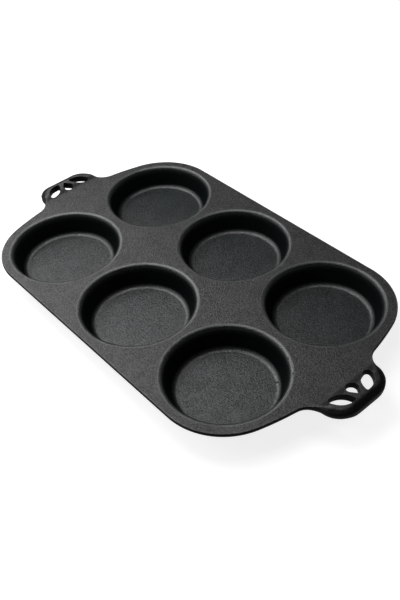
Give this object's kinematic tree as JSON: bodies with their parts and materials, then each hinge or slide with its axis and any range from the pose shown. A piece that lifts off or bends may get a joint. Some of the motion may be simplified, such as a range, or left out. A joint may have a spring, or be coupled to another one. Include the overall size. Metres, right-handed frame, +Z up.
{
  "type": "muffin pan",
  "caption": "Cast iron muffin pan: a flat deck with wide shallow round cups and a pierced tab handle at each short end.",
  "frame": {"origin": "middle of the footprint, at the height of the cup bases that the pan stands on", "axes": "+X along the pan from one handle to the other, +Y across it, +Z up out of the cups"},
  "size_m": [0.4846, 0.273, 0.03],
  "materials": {
    "deck_iron": "black seasoned cast iron, fine sand-cast grain with a dull oil sheen",
    "cup_iron": "black seasoned cast iron, a little darker and rougher inside the cups",
    "handle_iron": "black seasoned cast iron, smoothed by handling at the rolled edge"
  },
  "bodies": {
    "root": {"deck_plate": "deck_iron", "cup_1": "cup_iron", "cup_2": "cup_iron", "cup_3": "cup_iron", "cup_4": "cup_iron", "cup_5": "cup_iron", "cup_6": "cup_iron", "handle_near": "handle_iron", "handle_far": "handle_iron"}
  },
  "joints": []
}
